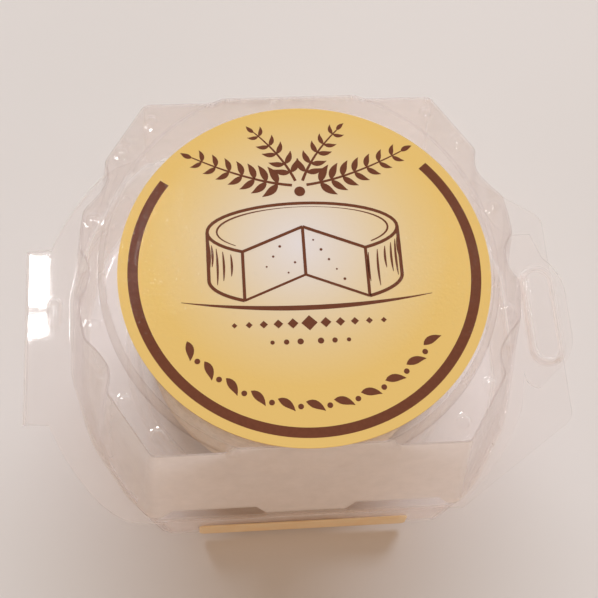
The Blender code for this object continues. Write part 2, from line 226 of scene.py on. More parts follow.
def plateau_quarter(step, limit):
    """Outline of the plateau, step wider than its top edge, clipped at the front wall."""
    points = []
    for p in SHOULDER:
        angle = math.atan2(p.y, p.x)
        radius = PLATEAU_SIDE + (PLATEAU_DIAGONAL - PLATEAU_SIDE) * math.sin(angle) ** 2 + step
        spot = polar(radius, angle)
        if spot.y > limit:
            spot = Vector((p.x, limit))
        points.append(spot)
    return points


STEP_FOOT = plateau_quarter(PLATEAU_STEP, SHOULDER_CORNER.y)
STEP_TOP = plateau_quarter(0.0, PLATEAU_FRONT)
print("plateau is", round(2 * STEP_TOP[0].x / MM, 1), "mm long")

# %% [markdown]
# ## Pulling a skin from ring to ring
# A formed sheet could be lofted, lathed or sculpted. The plan isn't round, so it isn't lathed. Here an
# edge loop is extruded again and again, and each time the fresh vertices move to the next outline.
# A number on every vertex remembers its column, and another how sharply the sheet is creased there.
# Extruding leaves its results in another order on each run, so a mesh is later sorted by place.


# %% Rings, rounded corners and pulling
GUARD_SHARE = 0.35    # how far a guard is from its rounded corner, as a share of the corner's cut


def deep(point, z):
    return Vector((point.x, point.y, z))


def rounded(before, corner, after, cut, steps):
    """Points that round a corner off, from cut before it to cut after it."""
    start = corner + (before - corner).normalized() * cut
    end = corner + (after - corner).normalized() * cut
    return curve(start, corner, end, steps)


def guarded(before, corner, after, cut, steps):
    """A rounded corner with one more point close to each end, which keeps the flats beside it flat."""
    points = rounded(before, corner, after, cut, steps)
    guard = cut * GUARD_SHARE
    first = points[0] + (before - corner).normalized() * guard
    last = points[-1] + (after - corner).normalized() * guard
    return [first] + points + [last]


def between(start, end, steps):
    """Evenly spaced points between start and end, both left out."""
    return [start.lerp(end, i / steps) for i in range(1, steps)]


def only(kind, parts):
    return [part for part in parts if isinstance(part, kind)]


def new_sheet():
    bm = bmesh.new()
    bm.verts.layers.int.new("column")
    bm.verts.layers.float.new("crease")
    return bm


def start_ring(bm, points):
    """A closed loop of edges through the points, each vertex numbered."""
    column = bm.verts.layers.int["column"]
    verts = [bm.verts.new(p) for p in points]
    for i, v in enumerate(verts):
        v[column] = i
    return [bm.edges.new((a, b)) for a, b in zip(verts, verts[1:] + verts[:1])]


def pull(bm, ring, points):
    """Extrude a loop of edges and move its fresh vertices to the points of the next ring."""
    column = bm.verts.layers.int["column"]
    fresh = bmesh.ops.extrude_edge_only(bm, edges=ring)["geom"]
    for v in only(BMVert, fresh):
        v.co = points[v[column]]
    return [e for e in only(BMEdge, fresh) if e.is_boundary]


def skin(columns, creased=()):
    """Pull a sheet through the rows of its columns and close the middle. Gives it and its open edge."""
    rows = list(zip(*columns))
    bm = new_sheet()
    crease = bm.verts.layers.float["crease"]
    ring = mouth = start_ring(bm, rows[0])
    for i, row in enumerate(rows[1:], 1):
        ring = pull(bm, ring, row)
        strength = sum(amount for corner_rows, amount in creased if i in corner_rows)
        for v in (v for edge in ring for v in edge.verts):
            v[crease] = strength
    bmesh.ops.edgeloop_fill(bm, edges=ring)
    print(len(rows), "rows of", len(rows[0]))
    return bm, mouth


def settle(bm):
    """Sort vertices by place, and then edges and faces by their vertices."""
    for parts, place in ((bm.verts, lambda v: v.co[:]),
                         (bm.edges, lambda e: sorted(v.index for v in e.verts)),
                         (bm.faces, lambda f: sorted(v.index for v in f.verts))):
        for i, part in enumerate(sorted(parts, key=place)):
            part.index = i
        parts.sort()


def outward_normals(outline):
    """Direction out of a closed outline at each of its points."""
    normals = []
    for before, after in zip(outline[-1:] + outline[:-1], outline[1:] + outline[:1]):
        along = after - before
        normals.append(Vector((along.y, -along.x)).normalized())
    return normals


# %% [markdown]
# ## Finishing a piece
# Every piece ends the same way: doubles merged, normals turned outwards, edges sharper than a limit
# kept crisp, and the mesh linked, painted and hung on the CAD body that it moves with.


# %% One helper for all pieces
SAME_PLACE = 0.001 * MM


def link_mesh(name, bm, material):
    mesh = bpy.data.meshes.new(name)
    bm.to_mesh(mesh)
    bm.free()
    mesh.materials.append(material)
    piece = bpy.data.objects.new(name, mesh)
    bpy.context.scene.collection.objects.link(piece)
    return piece


def finish_piece(name, bm, body, material, stands_for=(), sharp=40):
    settle(bm)
    bmesh.ops.remove_doubles(bm, verts=bm.verts, dist=SAME_PLACE)
    bmesh.ops.dissolve_degenerate(bm, edges=bm.edges, dist=SAME_PLACE)
    bmesh.ops.recalc_face_normals(bm, faces=bm.faces)
    for edge in bm.edges:
        edge.smooth = not edge.is_boundary and edge.calc_face_angle(0.0) < math.radians(sharp)
    for face in bm.faces:
        face.smooth = True
    piece = link_mesh(name, bm, material)
    if body:
        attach(piece, body)
    if stands_for:
        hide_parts(*stands_for)
    print(name, "has", len(piece.data.polygons), "faces")
    return piece


def give_thickness(piece, thickness=SHEET, side=-1.0):
    """A sheet is modelled as its outer skin and gets its wall on the inner side."""
    wall = piece.modifiers.new("wall", "SOLIDIFY")
    wall.thickness = thickness
    wall.offset = side


# %% [markdown]
# ## Mixing materials
# A material is a small tree of nodes. Helpers keep each tree short: one starts a material, one adds a
# node and fills its inputs, and the others add the nodes that are used again and again.


# %% Helpers for materials
def plug(tree, node, inputs):
    """Join what is a socket to a node's inputs, and set the rest on them as plain values."""
    for key, value in inputs.items():
        if isinstance(value, bpy.types.NodeSocket):
            tree.links.new(value, node.inputs[key])
        else:
            node.inputs[key].default_value = value


def add_node(tree, kind, inputs=None, **settings):
    node = tree.nodes.new(kind)
    for key, value in settings.items():
        setattr(node, key, value)
    plug(tree, node, inputs or {})
    return node


def start_material(name):
    """A new material, its tree, its shader and the coordinates of the piece."""
    material = bpy.data.materials.new(name)
    material.use_nodes = True
    tree = material.node_tree
    where = add_node(tree, "ShaderNodeTexCoord").outputs["Object"]
    return material, tree, tree.nodes["Principled BSDF"], where


def noise_at(tree, where, scale, detail=2.0, roughness=0.5):
    values = {"Vector": where, "Scale": scale, "Detail": detail, "Roughness": roughness}
    return add_node(tree, "ShaderNodeTexNoise", values).outputs["Fac"]


def ramp(tree, factor, stops):
    """Colours by a factor: stops are (position, colour)."""
    node = add_node(tree, "ShaderNodeValToRGB", {"Fac": factor})
    band = node.color_ramp
    while len(band.elements) < len(stops):
        band.elements.new(0.5)
    for element, (position, colour) in zip(band.elements, stops):
        element.position = position
        element.color = (*colour, 1.0)
    return node.outputs["Color"]


def rescaled(tree, value, source, result):
    """A value that lies between the two of source, moved to lie between the two of result."""
    values = dict(zip(("Value", "From Min", "From Max", "To Min", "To Max"), (value, *source, *result)))
    return add_node(tree, "ShaderNodeMapRange", values).outputs["Result"]


def bumpy(tree, height, strength, distance):
    """Normals tilted by a pattern of heights."""
    values = {"Strength": strength, "Distance": distance, "Height": height}
    return add_node(tree, "ShaderNodeBump", values).outputs["Normal"]


def multiply(tree, first, second):
    return add_node(tree, "ShaderNodeMath", {0: first, 1: second}, operation="MULTIPLY").outputs["Value"]


def mix_colours(tree, share, first, second, blend_type="MIX"):
    values = {"Factor": share, "A": first, "B": second}
    node = add_node(tree, "ShaderNodeMix", values, data_type="RGBA", blend_type=blend_type)
    return node.outputs["Result"]


def mix_shaders(tree, share, first, second):
    return add_node(tree, "ShaderNodeMixShader", {0: share, 1: first, 2: second}).outputs["Shader"]


def srgb(red, green, blue):
    """A colour as the screen shows it, 0 to 255, turned into the linear values that a shader reads."""
    shares = [c / 255 for c in (red, green, blue)]
    return tuple(s / 12.92 if s <= 0.04045 else ((s + 0.055) / 1.055) ** 2.4 for s in shares)


# %% [markdown]
# ## The clear sheet
# Thin clear plastic hardly bends the light, so real refraction isn't needed: light goes straight
# through with a faint tint, more of it where the sheet is seen edge on. On top come mirror-like
# reflections, strongest edge on, and slight waves left by the forming. Stretching also whitens the
# sheet, so a haze depends on the angle, and it's thickest on the front wall of the pack. A crease turns
# light away and looks like a thin dark line.


# %% Clear plastic
HAZE_COLOUR = (*srgb(250, 240, 234), 1.0)
HAZE_BY_ANGLE = [(0.10, 0.06), (0.40, 0.26), (0.60, 0.68), (0.75, 0.42), (0.90, 0.14)]    # (edge on, haze)
TINT_BY_ANGLE = [(0.0, (1.0, 0.997, 0.998)), (0.75, (0.988, 0.982, 0.984)), (1.0, (0.90, 0.87, 0.87))]
CREASE_SHADE = (0.86, 0.84, 0.84, 1.0)
LAMP_TINT = (1.0, 0.998, 1.0, 1.0)
MIRROR_FACE_ON = 0.04
GLOSS_ROUGHNESS = 0.03


def clear_sheet(name, haze_share, mirror_edge_on):
    material, tree, milk, where = start_material(name)
    normal = bumpy(tree, noise_at(tree, where, 90.0), 0.03, 0.0006)
    edge_on = add_node(tree, "ShaderNodeLayerWeight", {"Blend": 0.5, "Normal": normal}).outputs["Facing"]
    crease = add_node(tree, "ShaderNodeAttribute", attribute_name="crease").outputs["Fac"]
    tint = mix_colours(tree, crease, ramp(tree, edge_on, TINT_BY_ANGLE), CREASE_SHADE, "MULTIPLY")
    through = add_node(tree, "ShaderNodeBsdfTransparent", {"Color": tint}).outputs["BSDF"]
    plug(tree, milk, {"Base Color": HAZE_COLOUR, "Roughness": 0.5, "Normal": normal})
    glow = add_node(tree, "ShaderNodeBsdfTranslucent", {"Color": HAZE_COLOUR, "Normal": normal})
    haze = mix_shaders(tree, 0.15, milk.outputs["BSDF"], glow.outputs["BSDF"])
    patchy = rescaled(tree, noise_at(tree, where, 240.0, 4.0, 0.6), (0.3, 0.75), (0.93, 1.07))
    front_to_back = add_node(tree, "ShaderNodeSeparateXYZ", {"Vector": where}).outputs["Y"]
    milky_front = rescaled(tree, front_to_back, (-0.030, -0.012), (1.0, 0.5))
    depth = ramp(tree, edge_on, [(facing, (share * haze_share,) * 3) for facing, share in HAZE_BY_ANGLE])
    amount = multiply(tree, multiply(tree, patchy, milky_front), depth)
    body = mix_shaders(tree, amount, through, haze)
    shine = {"Color": (1.0, 1.0, 1.0, 1.0), "Roughness": GLOSS_ROUGHNESS, "Normal": normal}
    gloss = add_node(tree, "ShaderNodeBsdfGlossy", shine).outputs["BSDF"]
    steep = add_node(tree, "ShaderNodeMath", {0: edge_on, 1: 5.0}, operation="POWER").outputs["Value"]
    mirror = rescaled(tree, steep, (0.0, 1.0), (MIRROR_FACE_ON, mirror_edge_on))
    seen = mix_shaders(tree, mirror, body, gloss)
    for_lamps = add_node(tree, "ShaderNodeBsdfTransparent", {"Color": LAMP_TINT}).outputs["BSDF"]
    is_shadow = add_node(tree, "ShaderNodeLightPath").outputs["Is Shadow Ray"]
    whole = mix_shaders(tree, is_shadow, seen, for_lamps)
    plug(tree, tree.nodes["Material Output"], {"Surface": whole})
    return material


lid_sheet = clear_sheet("clear_sheet", 1.0, 0.6)
tray_sheet = clear_sheet("clear_sheet_tray", 0.9, 0.15)

# %% [markdown]
# ## Skin of the lid
# Seen in section, the sheet comes up from the flange in a small flare, climbs the wall, turns over the
# shoulder, and steps up to the plateau. Each column gets that section with every corner rounded.

# %% Section of the lid, column by column
FLARE = 0.3 * MM
FLAT_RING = 0.15 * MM     # a level ring at the foot keeps the shading of the wide flange level too
SHOULDER_ROUNDING = 0.2 * MM
STEP_ROUNDING = 0.12 * MM
MOST_OF_GAP = 0.3         # where the shoulder is narrow, a rounding takes at most this share of it
WALL_ROWS = 12
SHOULDER_ROWS = 8
CREASED = [(range(19, 23), 1.0), (range(34, 37), 0.7), (range(41, 44), 0.7)]    # rows inside each corner


def lid_section(foot, edge, step, top, out):
    """Points of one column, from the flange up to the plateau."""
    level = deep(foot + out * (FLARE + FLAT_RING), LID_FLANGE_Z)
    rim = deep(foot + out * FLARE, LID_FLANGE_Z)
    foot = deep(foot, LID_FLANGE_Z)
    edge, step = deep(edge, SHOULDER_Z), deep(step, SHOULDER_Z)
    top = deep(top, PLATEAU_Z)
    inside = deep(top * 0.97, PLATEAU_Z)
    gap = (step - edge).length
    points = [level] + rounded(rim, foot, edge, FLARE, 4)
    shoulder = guarded(foot, edge, step, min(SHOULDER_ROUNDING, MOST_OF_GAP * gap), 5)
    points += between(points[-1], shoulder[0], WALL_ROWS) + shoulder
    hollow = guarded(edge, step, top, min(STEP_ROUNDING, MOST_OF_GAP * gap), 4)
    points += between(points[-1], hollow[0], SHOULDER_ROWS) + hollow
    points += guarded(step, top, inside, STEP_ROUNDING, 4)
    points.append(inside)
    return points


foot_ring = full_ring(FOOT)
lid_columns = [lid_section(*column) for column in zip(
    foot_ring, full_ring(SHOULDER), full_ring(STEP_FOOT), full_ring(STEP_TOP), outward_normals(foot_ring))]
lid_skin, lid_mouth = skin(lid_columns, CREASED)

# %% [markdown]
# ## Flanges
# Both halves end in a flat flange, cut out of the sheet with a steel rule. On the left both have the
# straight edge of the fold. On the right the lid has a wide tab, and the tray has two ears beside it.

# %% Outlines of the flanges
FLANGE_FRONT = 35.0 * MM
FLANGE_FRONT_CORNER = 30.2 * MM
CORNER_CUT = 4.0 * MM
FLANGE_ROUND = 46.6 * MM
HINGE_HALF = 16.5 * MM
HINGE_EDGE = 47.35 * MM
HINGE_TAPER = 0.3 * MM
RIGHT_CORNER = 27.1 * MM
LID_RIM_ROUND = 43.5 * MM
TAB_ROOT_X = 41.0 * MM
TAB_LOW, TAB_HIGH = -14.2 * MM, 16.4 * MM
TAB_ROUNDING = 2.5 * MM
TAB_NEAR, TAB_NEAR_ROUND = at(42.8, -4.2), 8.0 * MM    # centre and radius of the tab's corners
TAB_FAR, TAB_FAR_ROUND = at(40.8, 3.9), 10.0 * MM
TAB_FAR_X = 45.8 * MM
ROUND_FROM = 138    # degrees from +X to where the left end of the flange turns round
TRAY_EAR = at(45.6, -18.5)
TRAY_EAR_ROUNDING = 3.0 * MM


def mirrored(points):
    return [Vector((p.x, -p.y)) for p in reversed(points)]


def hinge_side():
    """Left part of both flanges, from the back round to the front."""
    tab_angle = 180 - math.degrees(math.asin((HINGE_HALF + HINGE_TAPER) / FLANGE_ROUND))
    corner = Vector((-FLANGE_FRONT_CORNER, FLANGE_FRONT))
    round_start = polar(FLANGE_ROUND, math.radians(ROUND_FROM))
    back = rounded(Vector((0.0, FLANGE_FRONT)), corner, round_start, CORNER_CUT, 8)
    back += arc((0, 0), FLANGE_ROUND, ROUND_FROM, tab_angle, 13)
    back.append(Vector((-HINGE_EDGE, HINGE_HALF)))
    return back + mirrored(back)


def lid_flange():
    rim = [Vector((RIGHT_CORNER, -FLANGE_FRONT))] + arc((0, 0), LID_RIM_ROUND, -49.5, -24.5, 12)
    tab = [Vector((TAB_ROOT_X, TAB_LOW + 1.2 * TAB_ROUNDING))]
    tab += arc((TAB_ROOT_X + TAB_ROUNDING, TAB_LOW + TAB_ROUNDING), TAB_ROUNDING, 180, 270, 6)
    tab += arc(TAB_NEAR, TAB_NEAR_ROUND, -60, 0, 10)
    tab += arc(TAB_FAR, TAB_FAR_ROUND, 0, 48, 10)
    tab.append(Vector((TAB_FAR_X, TAB_HIGH)))
    tab.append(Vector((TAB_ROOT_X + TAB_ROUNDING / 2, TAB_HIGH)))
    return rim + tab + mirrored(rim) + hinge_side()


def tray_flange():
    ear = [Vector((RIGHT_CORNER, -FLANGE_FRONT))]
    ear += arc(TRAY_EAR, TRAY_EAR_ROUNDING, -57, 0, 8)
    return ear + mirrored(ear) + hinge_side()


# %% [markdown]
# ## The closing button
# A long oval boss is pressed up into both flanges, and the lid's snaps over the tray's. The flange gets
# a hole of that shape, and rings are pulled up from the hole's edge, with a groove inside the top.

# %% Ovals and pressed shapes
BUTTON_CENTRE = at(45.6, -0.4)
BUTTON_HALF = 6.6 * MM
BUTTON_RISE, BUTTON_GROOVE = 1.4, 0.3    # these four and the profiles are in millimetres
LID_BUTTON, TRAY_BUTTON = 3.4, 2.6
BUTTON_GAP = 0.3    # how much wider the hole is than the button
FOOT_RING = 0.08    # a level ring round a pressed shape keeps the shading of the flange level


def oval(centre, half, radius, z, steps=14):
    """Two half circles joined by straight sides, along Y. A half of zero gives a circle."""
    far = arc(centre + Vector((0, half)), radius, 0, 180, steps)
    near = arc(centre - Vector((0, half)), radius, 180, 360, steps)
    if half == 0:
        far, near = far[:-1], near[:-1]
    return [deep(p, z) for p in far + near]


def pressed(bm, ring, centre, half, profile, z):
    """Pull rings up from an oval hole to each (radius, rise) in millimetres, and close the last."""
    for radius, rise in [(profile[0][0] + FOOT_RING, 0.0)] + profile:
        ring = pull(bm, ring, oval(centre, half, radius * MM, z + rise * MM))
    bmesh.ops.edgeloop_fill(bm, edges=ring)


def button_profile(radius, groove):
    """Rounded foot, sloping side, rounded top edge and a shallow groove inside the top."""
    steps = [(0.05, 0.04), (-0.05, 0.25), (-0.35, 1.1), (-0.45, 1.3), (-0.65, BUTTON_RISE),
             (-1.15, BUTTON_RISE), (-1.3, BUTTON_RISE - groove * 0.5), (-1.45, BUTTON_RISE - groove)]
    return [(radius + out, rise) for out, rise in steps]


def press_flange(bm, mouth, outline, z, shapes):
    """Fill the flange between outline and mouth, and pull a pressed shape out of each hole in it."""
    rim = start_ring(bm, [deep(p, z) for p in outline])
    rings = [start_ring(bm, oval(centre, half, radius, z)) for centre, half, radius, _ in shapes]
    edges = mouth + rim + [e for ring in rings for e in ring]
    bmesh.ops.triangle_fill(bm, use_beauty=True, edges=edges, normal=(0, 0, 1))
    for ring, (centre, half, _, profile) in zip(rings, shapes):
        pressed(bm, ring, centre, half, profile, z)


# %% [markdown]
# ## A stud on the flange
# A small long stud on the lid's flange, beside the fold, stops the halves from sliding. It glints like a
# cut stone in the light, because its sides are steep and its top is round.

# %% Flange, button and stud of the lid
STUD = at(-42.7, 4.1)
STUD_HALF = 1.6 * MM
STUD_RADIUS = 1.6 * MM
STUD_PROFILE = [(1.4, 0.08), (1.15, 0.5), (0.9, 0.72), (0.5, 0.85), (0.2, 0.88)]


press_flange(lid_skin, lid_mouth, lid_flange(), LID_FLANGE_Z, [
    (BUTTON_CENTRE, BUTTON_HALF, (LID_BUTTON + BUTTON_GAP) * MM, button_profile(LID_BUTTON, BUTTON_GROOVE)),
    (STUD, STUD_HALF, STUD_RADIUS, STUD_PROFILE)])
bmesh.ops.remove_doubles(lid_skin, verts=lid_skin.verts, dist=SAME_PLACE)
print("lid with flange:", len(lid_skin.faces), "faces")

# %% [markdown]
# ## Vents
# The cheese has to breathe, so windows are punched through the foot of the walls. A real punch cuts
# along planes, and so does bisect_plane: the faces are split along each plane, and those inside go.

# %% Punch the vents
VENT_TOP_Z = LID_FLANGE_Z + 3.0 * MM
VENT_INNER_Y = 31.5 * MM
VENT_ENDS = [(6.6 * MM, -3.0, 1.8), (24.5 * MM, 3.0, 2.1)]    # X, and the slant out and up
CHAMFER_VENT = at(30.0, 27.9)
CHAMFER_VENT_HALF = 4.2 * MM
CHAMFER_VENT_LOW = LID_FLANGE_Z + 0.5 * MM
CHAMFER_VENT_HIGH = VENT_TOP_Z + 0.3 * MM
UP = Vector((0, 0, 1))


def cut(bm, faces, point, normal):
    """Split some faces along a plane, and give back the faces that they have become."""
    edges = list(dict.fromkeys(e for f in faces for e in f.edges))
    verts = list(dict.fromkeys(v for f in faces for v in f.verts))
    parts = verts + edges + faces
    done = bmesh.ops.bisect_plane(bm, geom=parts, dist=1e-7, plane_co=point, plane_no=normal)
    return only(BMFace, done["geom"])


def punch(bm, faces, planes):
    """Cut faces along planes (point, normal out of the hole), and delete what is inside all."""
    for point, normal in planes:
        faces = cut(bm, faces, point, normal)
    inside = [f for f in faces
              if all((f.calc_center_median() - Vector(p)).dot(Vector(n)) < 1e-8 for p, n in planes)]
    bmesh.ops.delete(bm, geom=inside, context="FACES")


for x_sign, y_sign in QUARTERS:
    near_wall = [f for f in lid_skin.faces if f.calc_center_median().z < VENT_TOP_Z + 3 * MM
                 and max(v.co.y * y_sign for v in f.verts) > FOOT_FRONT - 1.5 * MM
                 and min(v.co.y * y_sign for v in f.verts) > 25 * MM]
    ends = [(Vector((x_sign * x, 0, LID_FLANGE_Z)), Vector((x_sign * out, 0, rise)))
            for x, out, rise in VENT_ENDS]
    inner = (Vector((0, y_sign * VENT_INNER_Y, 0)), Vector((0, -y_sign, 0)))
    punch(lid_skin, near_wall, [(UP * VENT_TOP_Z, UP), *ends, inner])
    across = Vector((x_sign * math.cos(CHAMFER_ANGLE), y_sign * math.sin(CHAMFER_ANGLE), 0))
    along = Vector((-across.y, across.x, 0))
    middle = Vector((x_sign * CHAMFER_VENT.x, y_sign * CHAMFER_VENT.y, 0))
    spots = [(f, f.calc_center_median()) for f in lid_skin.faces]
    near_wall = [f for f, spot in spots if LID_FLANGE_Z + 0.01 * MM < spot.z < VENT_TOP_Z + 4 * MM
                 and abs((spot - middle).dot(along)) < 6 * MM and (spot - middle).dot(across) > -8 * MM]
    punch(lid_skin, near_wall, [
        (UP * CHAMFER_VENT_LOW, -UP), (UP * CHAMFER_VENT_HIGH, UP),
        (middle + along * CHAMFER_VENT_HALF, along), (middle - along * CHAMFER_VENT_HALF, -along)])
settle(lid_skin)
print("lid with vents:", len(lid_skin.faces), "faces")

# %% [markdown]
# ## Stacking pips
# Twelve low round pips on the shoulder keep stacked packs apart. They are so small that lifting some
# vertices would leave them ragged. So a hole is cut in the flat shoulder for each, filled up to a true
# circle, and the pip is pulled up from that circle in rings.

# %% Press the pips
PIP_RADIUS = 1.25 * MM
PIP_HOLE = PIP_RADIUS + 0.05 * MM
PIP_REACH = PIP_RADIUS + 0.25 * MM
PIP_PROFILE = [(1.22, 0.02), (1.12, 0.12), (1.0, 0.2), (0.8, 0.23)]
PIPS = [at(33.2, 9.4), at(28.4, 22.2), at(23.5, 27.9)]


def press_pip(bm, spot):
    patch = [f for f in bm.faces if all(abs(v.co.z - SHOULDER_Z) < SAME_PLACE for v in f.verts)
             and min((v.co.xy - spot).length for v in f.verts) < PIP_REACH]
    members = set(patch)
    border = [e for f in patch for e in f.edges if len(members.intersection(e.link_faces)) == 1]
    bmesh.ops.delete(bm, geom=patch, context="FACES")
    ring = start_ring(bm, oval(spot, 0.0, PIP_HOLE, SHOULDER_Z))
    bmesh.ops.triangle_fill(bm, use_beauty=True, edges=border + ring, normal=(0, 0, 1))
    pressed(bm, ring, spot, 0.0, PIP_PROFILE, SHOULDER_Z)


for spot in PIPS:
    for x_sign, y_sign in QUARTERS:
        press_pip(lid_skin, Vector((spot.x * x_sign, spot.y * y_sign)))
lid = finish_piece("lid_shell", lid_skin, "lid", lid_sheet, ["lid"])
give_thickness(lid)

# %% [markdown]
# ## The tray
# The lower half is shallow. A bead is pressed up round the place of the cheese to keep it in the middle.
# It is pulled like the lid, only downwards from its flange.

# %% Section of the tray
TRAY_TOP_INSET = 0.3 * MM
TRAY_FOOT_INSET = 1.5 * MM
TRAY_FRONT = 34.5 * MM
TRAY_FOOT_FRONT = 34.2 * MM
TRAY_SKIN_Z = TABLE_Z + 0.02 * MM    # a hair above the table, or the two surfaces would fight
TRAY_FLARE = 0.3 * MM
TRAY_ROUNDING = 1.0 * MM
BEAD = [(30.8, 0.0), (30.1, 0.9), (28.9, 0.9), (28.2, 0.0)]    # radius and rise in millimetres
BEAD_ROUNDING = 0.35 * MM
INSIDE_BEAD = 26.0 * MM


def tray_section(mouth, foot, out):
    """Points of one column, from the flange down, over the floor and the bead, and to the middle."""
    level = deep(mouth + out * (TRAY_FLARE + FLAT_RING), TRAY_FLANGE_Z)
    rim = deep(mouth + out * TRAY_FLARE, TRAY_FLANGE_Z)
    top = deep(mouth, TRAY_FLANGE_Z)
    low = deep(foot, TRAY_SKIN_Z)
    direction = Vector((foot.x, foot.y)).normalized()
    bead = [deep(direction * radius * MM, TRAY_SKIN_Z + rise * MM) for radius, rise in BEAD]
    points = [level] + rounded(rim, top, low, TRAY_FLARE, 3)
    turned = guarded(top, low, bead[0], TRAY_ROUNDING, 5)
    points += between(points[-1], turned[0], 4) + turned
    path = [points[-1]] + bead + [deep(direction * INSIDE_BEAD, TRAY_SKIN_Z)]
    for before, corner, after in zip(path, path[1:], path[2:]):
        points += guarded(before, corner, after, BEAD_ROUNDING, 3)
    points.append(path[-1])
    return points


tray_mouth_ring = full_ring(wall_quarter(TRAY_TOP_INSET, TRAY_FRONT))
tray_foot_ring = full_ring(wall_quarter(TRAY_FOOT_INSET, TRAY_FOOT_FRONT))
tray_columns = [tray_section(*column) for column in zip(
    tray_mouth_ring, tray_foot_ring, outward_normals(tray_mouth_ring))]
tray_skin, tray_mouth = skin(tray_columns)
press_flange(tray_skin, tray_mouth, tray_flange(), TRAY_FLANGE_Z, [
    (BUTTON_CENTRE, BUTTON_HALF, (TRAY_BUTTON + BUTTON_GAP) * MM, button_profile(TRAY_BUTTON, 0.0))])
tray = finish_piece("tray_shell", tray_skin, "tray", tray_sheet, ["tray"])
give_thickness(tray, side=1.0)

# %% [markdown]
# ## The fold
# Lid and tray are one sheet, so a narrow bent strip joins them on the left. It is blended between the
# two bodies: its lower points stay with the tray and its upper points follow the lid as it opens.

# %% Bend the fold
FOLD_STEPS = 16


def bend_fold():
    low, high = TRAY_FLANGE_Z - SHEET, LID_FLANGE_Z
    middle = (low + high) / 2
    half = (high - low) / 2
    bm = new_sheet()
    turns = [math.pi * i / FOLD_STEPS for i in range(FOLD_STEPS + 1)]
    ends = []
    for y in (-HINGE_HALF, HINGE_HALF):
        outer, inner = [[Vector((-HINGE_EDGE - radius * math.sin(a), y, middle + radius * math.cos(a)))
                         for a in turns] for radius in (half, half - SHEET)]
        ends.append(outer + inner[::-1])
    ring = start_ring(bm, ends[0])
    near = ring
    for share in (0.25, 0.5, 0.75, 1.0):
        ring = pull(bm, ring, [a.lerp(b, share) for a, b in zip(*ends)])
    bmesh.ops.edgeloop_fill(bm, edges=near)
    bmesh.ops.edgeloop_fill(bm, edges=ring)
    return bm


fold = finish_piece("hinge_fold", bend_fold(), None, lid_sheet)
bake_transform(fold, "tray", "lid", start=(-HINGE_EDGE, 0, TRAY_FLANGE_Z - 0.1 * MM),
         end=(-HINGE_EDGE, 0, LID_FLANGE_Z - 0.25 * MM))

# %% [markdown]
# ## The rind
# A young goat's cheese has a thin, dry, wrinkled rind, ivory with beige and rosy patches. Noise at three
# sizes mixes its colour, and the finest also roughens it. A little light goes under the skin.

# %% Paint for the rind
def rind_material():
    material, tree, shader, where = start_material("rind")
    patches = noise_at(tree, where, 70.0, 3.0)
    base = ramp(tree, patches, [
        (0.3, srgb(222, 192, 160)), (0.5, srgb(233, 210, 182)), (0.7, srgb(242, 226, 204))])
    grain = noise_at(tree, where, 900.0, 6.0, 0.65)
    speck = ramp(tree, grain, [(0.35, (0.80, 0.76, 0.72)), (0.6, (1.0, 1.0, 1.0))])
    folds = noise_at(tree, where, 420.0, 5.0, 0.6)
    plug(tree, shader, {
        "Base Color": mix_colours(tree, 0.8, base, speck, "MULTIPLY"),
        "Normal": bumpy(tree, folds, 0.5, 0.0008),
        "Roughness": 0.62, "Subsurface Weight": 0.12, "Subsurface Radius": (0.004, 0.002, 0.001)})
    return material


rind = rind_material()

# %% [markdown]
# ## The cheese
# The drum is turned: half of its section is spun round the axis. Then its skin is pushed in and out, in
# slow waves from the moulding and in finer folds from the drying.

# %% Turn the drum and wrinkle it
cheese_low, cheese_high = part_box("cheese")
print("room for a drum of", round((cheese_high.z - cheese_low.z) / MM, 1), "mm")
CHEESE_RADIUS = 26.3 * MM
CHEESE_HEIGHT = 30.0 * MM
TOP_ROUNDING, BOTTOM_ROUNDING = 7.5 * MM, 5.5 * MM
CHEESE_Z = 0.8 * MM
WAVE, FOLD, CREASE = 0.75 * MM, 0.55 * MM, 0.28 * MM    # how deep each kind of wrinkle goes


def drum_profile():
    foot = [Vector((CHEESE_RADIUS * i / 14, 0.0)) for i in range(0, 11)]
    bottom = arc((CHEESE_RADIUS - BOTTOM_ROUNDING, BOTTOM_ROUNDING), BOTTOM_ROUNDING, -90, 0, 14)
    side = [Vector((CHEESE_RADIUS, BOTTOM_ROUNDING + 17 * MM * i / 24)) for i in range(1, 24)]
    top = arc((CHEESE_RADIUS - TOP_ROUNDING, CHEESE_HEIGHT - TOP_ROUNDING), TOP_ROUNDING, 0, 90, 18)
    crown = [Vector((CHEESE_RADIUS * i / 20, CHEESE_HEIGHT)) for i in range(13, -1, -1)]
    return foot + bottom + side + top + crown


def wrinkled_drum(segments=216):
    bm = bmesh.new()
    profile = [bm.verts.new((p.x, 0, p.y)) for p in drum_profile()]
    edges = [bm.edges.new(pair) for pair in zip(profile, profile[1:])]
    bmesh.ops.spin(bm, geom=profile + edges, axis=(0, 0, 1), cent=(0, 0, 0), angle=math.tau,
                   steps=segments, use_merge=True)
    bmesh.ops.remove_doubles(bm, verts=bm.verts, dist=SAME_PLACE)
    bmesh.ops.recalc_face_normals(bm, faces=bm.faces)
    bm.normal_update()
    moves = []
    for v in bm.verts:
        here = v.co / MM
        wave = noise.noise(here * 0.045 + Vector((3.1, 0.4, 7.7)))
        stretched = Vector((here.x, here.y, here.z * 1.6))
        fold = abs(noise.noise(stretched * 0.26 + Vector((9.0, 2.0, 5.0))))
        crease = abs(noise.noise(stretched * 0.7 + Vector((1.0, 8.0, 3.0))))
        seat = min(1.0, v.co.z / BOTTOM_ROUNDING)
        moves.append(v.normal * (WAVE * wave - FOLD * fold - CREASE * crease) * seat)
    for v, move in zip(bm.verts, moves):
        v.co += move + Vector((0, 0, CHEESE_Z))
    return bm


